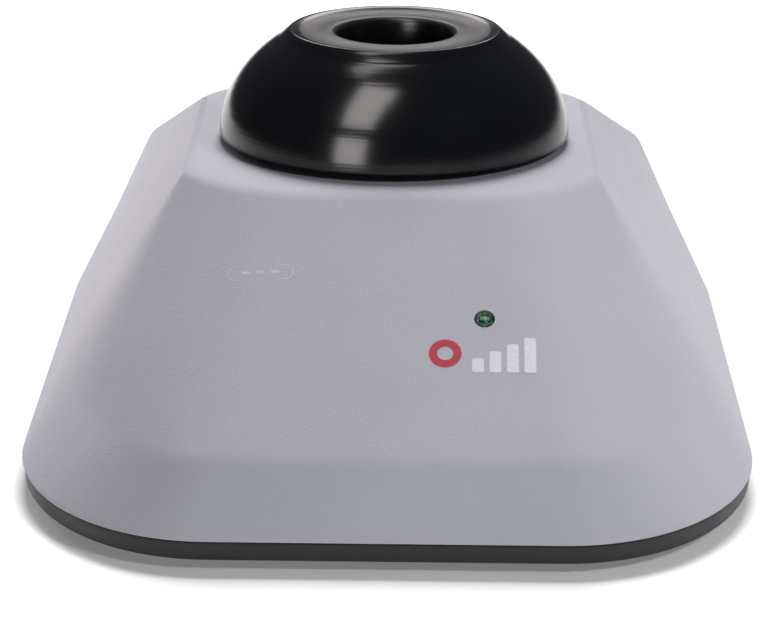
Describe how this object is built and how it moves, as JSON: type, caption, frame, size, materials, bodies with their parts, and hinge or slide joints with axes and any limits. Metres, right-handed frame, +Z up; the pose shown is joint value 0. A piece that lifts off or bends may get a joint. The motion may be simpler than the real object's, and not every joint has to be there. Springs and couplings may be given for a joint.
{
  "type": "vortex mixer",
  "caption": "Compact one-touch vortex mixer with a sloping two-stage housing, ballasted base and a dished rubber cup that orbits on an eccentric when pressed.",
  "frame": {"origin": "on the table, under the middle of the housing's outline", "axes": "+Z up, +X to the right of a user who faces the front panel, +Y from the front panel to the rear"},
  "size_m": [0.11, 0.15, 0.0614],
  "materials": {
    "housing_grey": "fine moulded grain, satin",
    "tray_black": "satin black",
    "cup_rubber": "smooth satin black rubber",
    "foot_rubber": "matte black rubber",
    "zinc_steel": "zinc-plated sheet",
    "screw_steel": "zinc-plated",
    "bright_steel": "ground bright",
    "spring_steel": "drawn wire",
    "magnet_grey": "sintered ferrite",
    "winding_copper": "varnished winding",
    "brass_part": "machined",
    "board_green": "solder mask",
    "capacitor_sleeve": "shrink sleeve",
    "moulded_black": "moulded",
    "header_nylon": "natural nylon",
    "bush_nylon": "natural acetal",
    "led_green": "tinted epoxy lens",
    "print_red": "pad-printed ink",
    "print_grey": "pad-printed ink",
    "badge_grey": "embossed outline",
    "wire_red": "wire insulation",
    "wire_yellow": "wire insulation",
    "wire_blue": "wire insulation",
    "wire_white": "wire insulation",
    "plunger_red": "moulded"
  },
  "bodies": {
    "housing": {"top_housing": "housing_grey", "base_tray": "tray_black", "ballast_plate": "zinc_steel", "ballast_screws": "screw_steel", "rubber_feet": "foot_rubber", "base_screws": "screw_steel", "guide_posts": "bright_steel", "stop_screws": "screw_steel", "press_springs": "spring_steel", "deck_grommet": "foot_rubber", "circuit_board": "board_green", "board_screws": "screw_steel", "capacitors": "capacitor_sleeve", "driver_chip": "moulded_black", "wire_header": "header_nylon", "dc_jack_body": "moulded_black", "dc_jack_pin": "bright_steel", "dc_jack_nut": "screw_steel", "switch_body": "moulded_black", "switch_bracket": "zinc_steel", "switch_screws": "screw_steel", "status_led": "led_green", "led_holder": "moulded_black", "emblem_red": "print_red", "emblem_grey": "print_grey", "badge_plate": "badge_grey", "power_wires": "wire_red", "motor_wires": "wire_yellow", "led_wires": "wire_blue", "switch_wires": "wire_white"},
    "carriage": {"motor_carriage": "zinc_steel", "guide_bushes": "bush_nylon", "motor_can": "zinc_steel", "motor_magnets": "magnet_grey", "motor_end_cap": "moulded_black", "motor_terminals": "brass_part", "motor_screws": "screw_steel"},
    "rotor": {"motor_armature": "winding_copper", "commutator": "brass_part", "motor_shaft": "bright_steel", "eccentric_hub": "brass_part", "hub_set_screw": "screw_steel", "bearing_inner_race": "bright_steel", "bearing_screw": "screw_steel", "bearing_washer": "screw_steel"},
    "ball_cage": {"bearing_balls": "bright_steel", "bearing_cage": "brass_part"},
    "head": {"bearing_outer_race": "bright_steel", "cup_holder": "moulded_black", "rubber_cup": "cup_rubber"},
    "plunger": {"switch_plunger": "plunger_red"}
  },
  "joints": [
    {"name": "press", "type": "slide", "parent": "housing", "child": "carriage", "axis": [0, 0, -1], "range_m": [0, 0.0008], "stiffness_N_per_m": 3000, "springref_m": -0.002, "deforming": ["press_springs"]},
    {"name": "motor_spin", "type": "hinge", "parent": "carriage", "child": "rotor", "pos_m": [0, 0.0018, 0], "axis": [0, 0, 1], "continuous": true},
    {"name": "cup_orbit", "type": "hinge", "parent": "rotor", "child": "head", "pos_m": [0.00035, -0.00017, 0], "axis": [0, 0, 1], "continuous": true},
    {"name": "cage_spin", "type": "hinge", "parent": "rotor", "child": "ball_cage", "pos_m": [0.00035, -0.00017, 0], "axis": [0, 0, 1], "continuous": true},
    {"name": "switch_press", "type": "slide", "parent": "housing", "child": "plunger", "axis": [0, 0, -1], "range_m": [0, 0.0008]}
  ],
  "couplings": [
    {"joint": "cup_orbit", "follows": "motor_spin", "ratio": -1},
    {"joint": "cage_spin", "follows": "motor_spin", "ratio": -0.6372},
    {"joint": "switch_press", "follows": "press", "ratio": 1}
  ]
}
